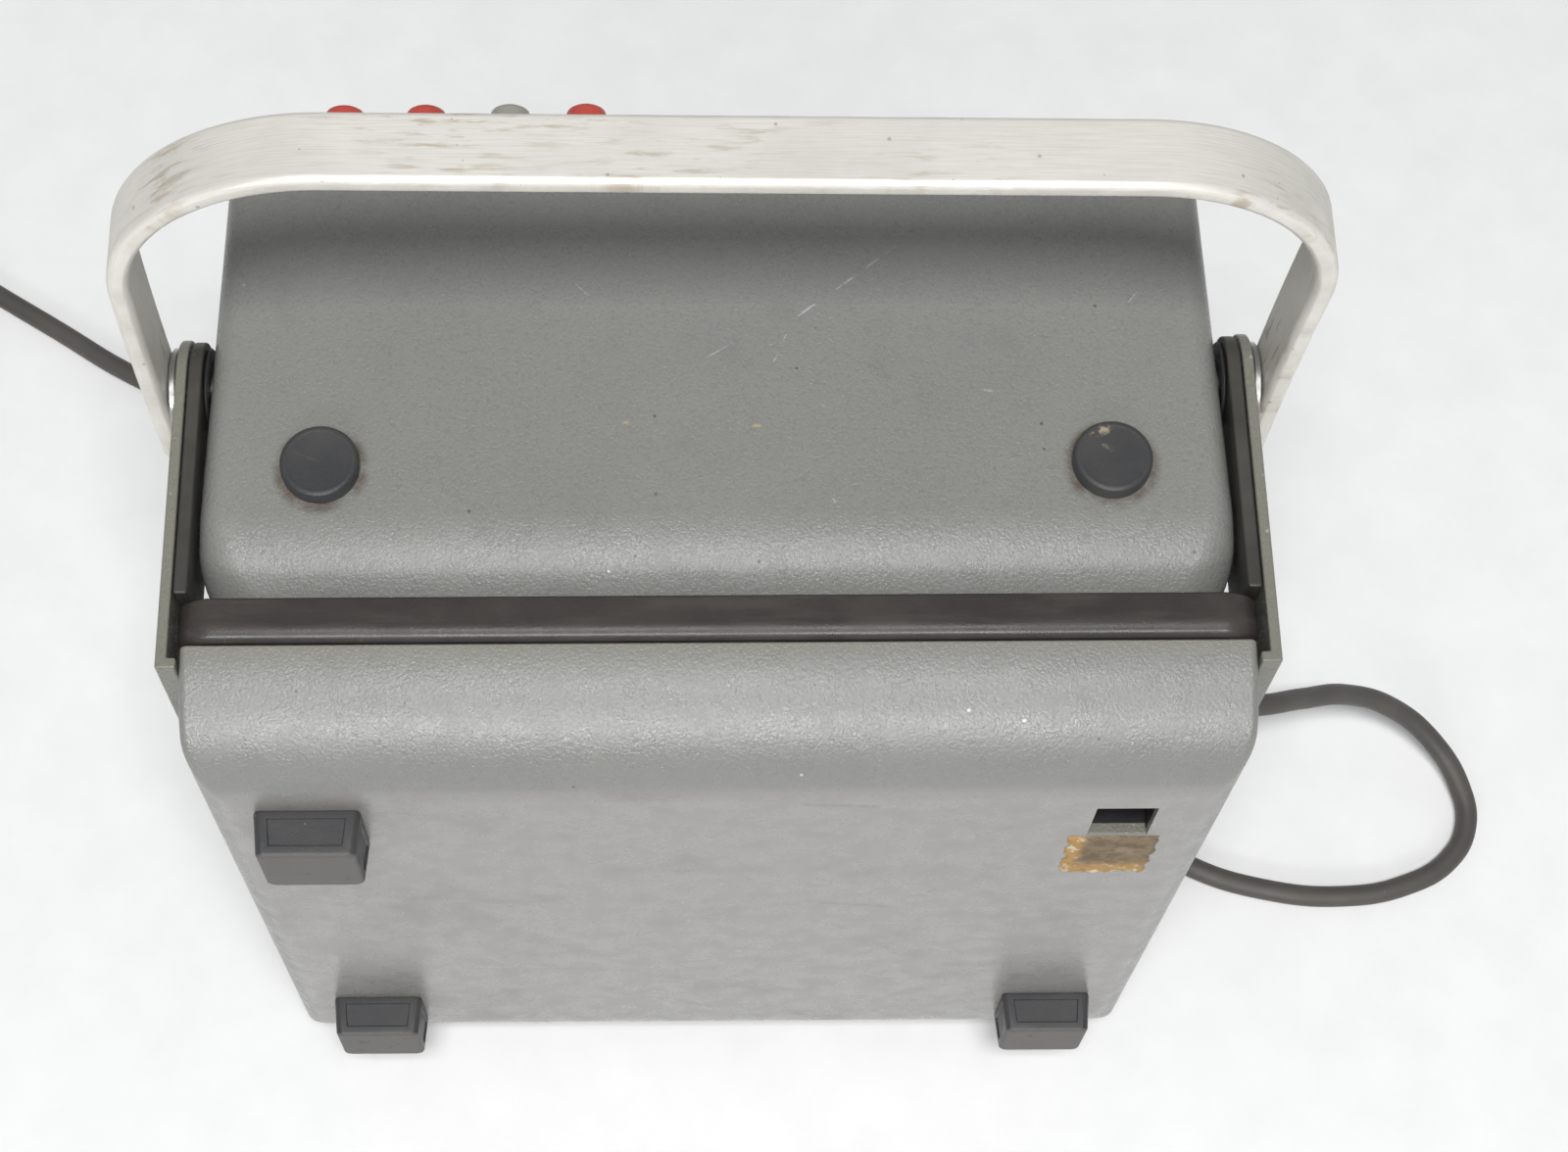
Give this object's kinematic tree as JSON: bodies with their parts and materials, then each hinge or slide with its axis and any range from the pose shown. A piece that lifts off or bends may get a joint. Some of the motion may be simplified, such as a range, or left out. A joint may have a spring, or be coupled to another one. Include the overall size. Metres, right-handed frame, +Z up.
{
  "type": "portable bench test instrument in a sheet metal case",
  "caption": "Portable mains-powered test instrument in a grey sheet-metal case with a strap handle, a hinged rear tray, rubber feet and a control panel with binding posts.",
  "frame": {"origin": "centre of the object's footprint on the table, without the mains cord", "axes": "+Z up, +Y towards the control panel side, X along the handle; the rear tray faces -Y"},
  "size_m": [0.579, 0.3055, 0.3573],
  "materials": {
    "case_enamel": "fine wrinkle enamel, satin",
    "arm_enamel": "satin enamel, worn edges",
    "panel_enamel": "smooth satin enamel",
    "handle_aluminium": "brushed, tarnished",
    "steel": "plated",
    "brass": "turned, nickel worn",
    "black_bar": "satin black, dusty",
    "foot_rubber": "matt, worn contact faces",
    "seal_rubber": "semi gloss",
    "cord_rubber": "matt",
    "black_plastic": "moulded, satin gloss",
    "red_plastic": "moulded, gloss",
    "grey_plastic": "moulded, satin gloss",
    "board": "phenolic board",
    "copper": "enamelled copper wire",
    "core_steel": "varnished laminations",
    "dial_card": "printed card",
    "meter_glass": "clear"
  },
  "bodies": {
    "instrument": {"body_shell": "case_enamel", "front_panel": "panel_enamel", "panel_screw_1": "steel", "panel_screw_2": "steel", "panel_screw_3": "steel", "panel_screw_4": "steel", "chassis": "steel", "power_switch": "steel", "pivot_screw_left": "steel", "pivot_screw_right": "steel", "transformer_core": "core_steel", "transformer_coil": "copper", "circuit_board": "board", "component_strip": "grey_plastic", "capacitor": "handle_aluminium", "meter_case": "black_plastic", "fuse_holder": "black_plastic", "inner_washer_left": "black_plastic", "inner_washer_right": "black_plastic", "cord_tie": "black_plastic", "meter_dial": "dial_card", "meter_glass": "meter_glass", "pilot_lamp": "red_plastic", "post_stud_1": "brass", "post_stud_2": "brass", "post_stud_3": "brass", "post_stud_4": "brass", "plug_pins": "brass", "top_foot_left": "foot_rubber", "top_foot_right": "foot_rubber", "base_foot_rear_left": "foot_rubber", "base_foot_rear_right": "foot_rubber", "base_foot_front_left": "foot_rubber", "base_foot_front_right": "foot_rubber", "strain_relief": "cord_rubber", "mains_cord": "cord_rubber", "cord_coil": "cord_rubber", "plug_body": "cord_rubber"},
    "rear_tray": {"tray_shell": "case_enamel", "tray_seal": "seal_rubber", "rect_foot_upper_left": "foot_rubber", "rect_foot_lower_left": "foot_rubber", "rect_foot_lower_right": "foot_rubber", "arm_left": "arm_enamel", "arm_right": "arm_enamel", "arm_bar_left": "black_bar", "arm_bar_right": "black_bar", "arm_rivet_left": "steel", "arm_rivet_right": "steel"},
    "handle": {"handle_strap": "handle_aluminium", "outer_washer_left": "steel", "outer_washer_right": "steel"},
    "range_knob": {"range_knob": "black_plastic"},
    "set_knob": {"set_knob": "black_plastic"},
    "switch_lever": {"switch_lever": "steel"},
    "needle": {"meter_needle": "black_plastic"},
    "post_cap_1": {"post_cap_1": "red_plastic"},
    "post_cap_2": {"post_cap_2": "red_plastic"},
    "post_cap_3": {"post_cap_3": "grey_plastic"},
    "post_cap_4": {"post_cap_4": "red_plastic"}
  },
  "joints": [
    {"name": "tray_tilt", "type": "hinge", "parent": "instrument", "child": "rear_tray", "pos_m": [0, 0.014, 0.2479], "axis": [1, 0, 0], "range_deg": [-72, 0]},
    {"name": "handle_swing", "type": "hinge", "parent": "instrument", "child": "handle", "pos_m": [0, 0.014, 0.2479], "axis": [1, 0, 0], "range_deg": [-100, 70]},
    {"name": "range_knob_turn", "type": "hinge", "parent": "instrument", "child": "range_knob", "pos_m": [-0.062, 0.0655, 0.168], "axis": [0, 1, 0], "range_deg": [-150, 150]},
    {"name": "set_knob_turn", "type": "hinge", "parent": "instrument", "child": "set_knob", "pos_m": [-0.062, 0.0655, 0.104], "axis": [0, 1, 0], "range_deg": [-140, 140]},
    {"name": "lever_throw", "type": "hinge", "parent": "instrument", "child": "switch_lever", "pos_m": [0.084, 0.0635, 0.06], "axis": [1, 0, 0], "range_deg": [0, 28]},
    {"name": "needle_swing", "type": "hinge", "parent": "instrument", "child": "needle", "pos_m": [0.022, 0.0664, 0.139], "axis": [0, 1, 0], "range_deg": [-80, 0], "stiffness_Nm_per_rad": 0.0002, "springref_deg": 17.19},
    {"name": "post_cap_1_turn", "type": "hinge", "parent": "instrument", "child": "post_cap_1", "pos_m": [-0.0923, 0.0805, 0.2415], "axis": [0, 1, 0], "continuous": true},
    {"name": "post_cap_2_turn", "type": "hinge", "parent": "instrument", "child": "post_cap_2", "pos_m": [-0.0718, 0.0805, 0.2415], "axis": [0, 1, 0], "continuous": true},
    {"name": "post_cap_3_turn", "type": "hinge", "parent": "instrument", "child": "post_cap_3", "pos_m": [-0.0506, 0.0805, 0.2415], "axis": [0, 1, 0], "continuous": true},
    {"name": "post_cap_4_turn", "type": "hinge", "parent": "instrument", "child": "post_cap_4", "pos_m": [-0.0314, 0.0805, 0.2415], "axis": [0, 1, 0], "continuous": true}
  ]
}
